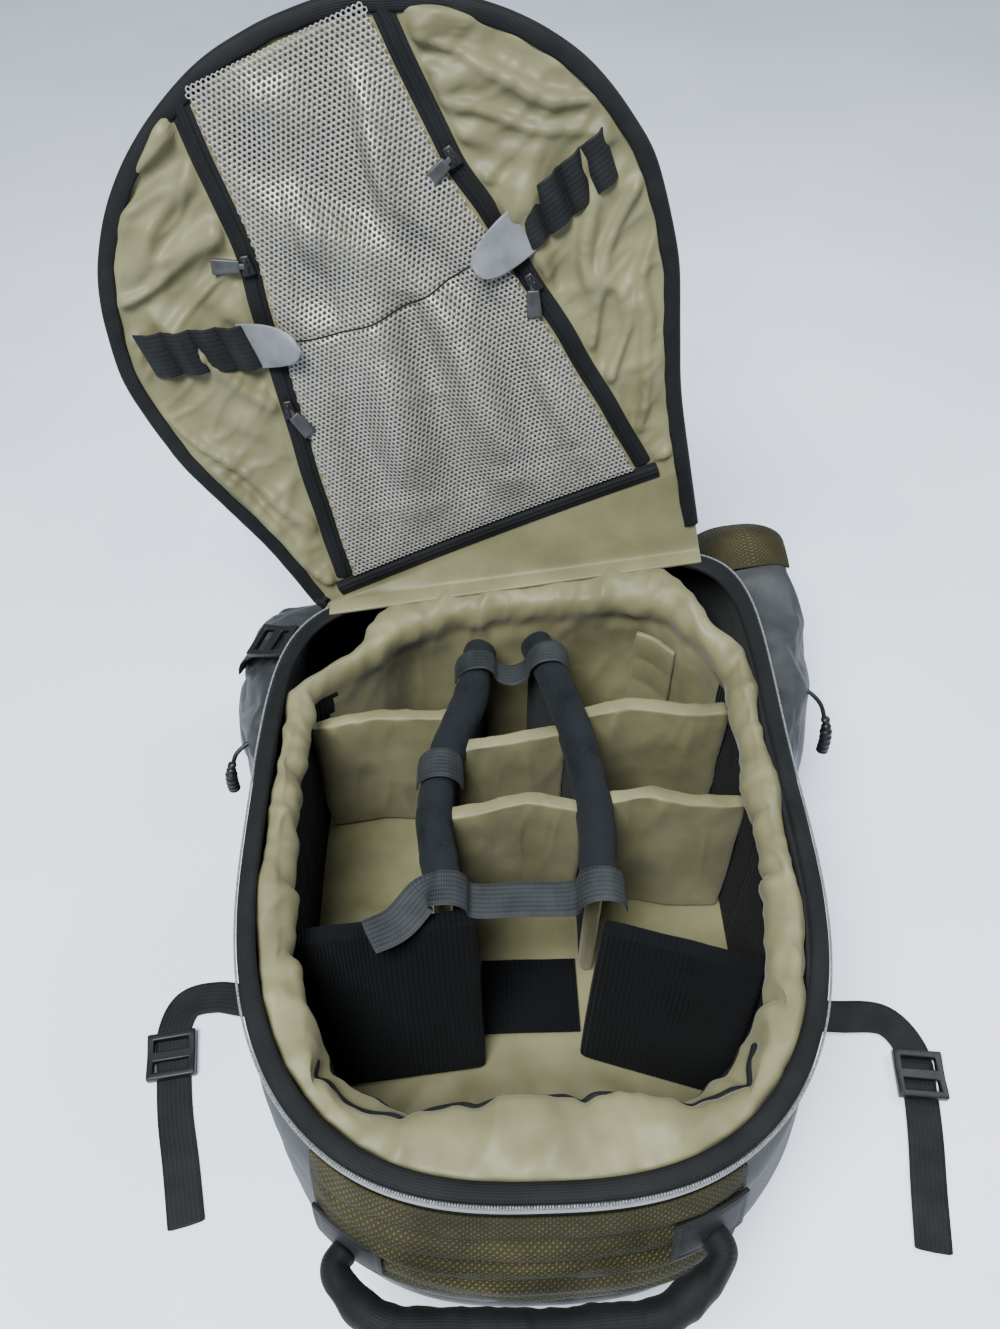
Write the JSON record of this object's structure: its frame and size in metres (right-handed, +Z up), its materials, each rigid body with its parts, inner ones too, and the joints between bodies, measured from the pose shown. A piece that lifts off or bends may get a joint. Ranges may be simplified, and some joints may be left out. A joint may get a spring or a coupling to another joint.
{
  "type": "camera backpack",
  "caption": "Photographer's backpack lying on its harness, front panel unzipped and thrown back, padded dividers inside.",
  "frame": {"origin": "on the surface the pack lies on, in the middle of the back pad's flat face", "axes": "+Z up out of the open mouth, -Y towards the carrying handle, +X to the right seen from the handle end"},
  "size_m": [0.5849, 0.5855, 0.5817],
  "materials": {
    "dark_nylon": "woven nylon",
    "khaki_lining": "soft sheen nylon",
    "khaki_weave": "coarse woven nylon",
    "dark_tape": "ribbed tape",
    "loop_pile": "brushed loop pile",
    "grey_web": "grey webbing",
    "piping": "coated cord",
    "mesh": "honeycomb mesh",
    "dark_plastic": "matte",
    "grey_rubber": "matte"
  },
  "bodies": {
    "root": {"body_shell": "dark_nylon", "near_panel": "khaki_weave", "far_panel": "khaki_weave", "rim_piping": "piping", "base_piping": "piping", "rim_tape": "dark_tape", "liner": "khaki_lining", "floor_pad": "khaki_lining", "long_divider_left": "loop_pile", "bolster_left": "loop_pile", "long_divider_right": "loop_pile", "bolster_right": "loop_pile", "cross_divider_left": "khaki_lining", "cross_divider_right_far": "khaki_lining", "cross_divider_right_near": "khaki_lining", "cross_divider_centre_far": "khaki_lining", "cross_divider_centre_near": "khaki_lining", "loop_divider_left": "loop_pile", "loop_divider_right": "loop_pile", "floor_loop_patch": "loop_pile", "far_wall_strip": "khaki_lining", "divider_strap_near": "grey_web", "divider_strap_far": "grey_web", "bolster_band": "grey_web", "lid_panel": "khaki_lining", "lid_mesh_pocket": "mesh", "lid_zip_left": "dark_tape", "lid_zip_right": "dark_tape", "lid_zip_base": "dark_tape", "lid_binding": "dark_tape", "lid_elastic_left": "dark_tape", "lid_tab_left": "grey_rubber", "lid_elastic_right": "dark_tape", "lid_tab_right": "grey_rubber", "lid_pull_left_upper": "grey_rubber", "lid_pull_left_lower": "grey_rubber", "lid_pull_right_upper": "grey_rubber", "lid_pull_right_lower": "grey_rubber", "side_pocket_left": "dark_nylon", "pocket_pull_left": "dark_plastic", "side_pocket_right": "dark_nylon", "pocket_pull_right": "dark_plastic", "pocket_facing_right": "khaki_weave", "side_strap_left": "dark_tape", "side_buckle_left": "dark_plastic", "haul_handle": "dark_tape", "handle_anchor_left": "dark_tape", "handle_anchor_right": "dark_tape", "harness_web_left": "dark_tape", "ladderlock_left": "dark_plastic", "harness_web_right": "dark_tape", "ladderlock_right": "dark_plastic", "shoulder_strap_left": "loop_pile", "shoulder_strap_right": "loop_pile", "back_pad": "loop_pile"}
  },
  "joints": []
}
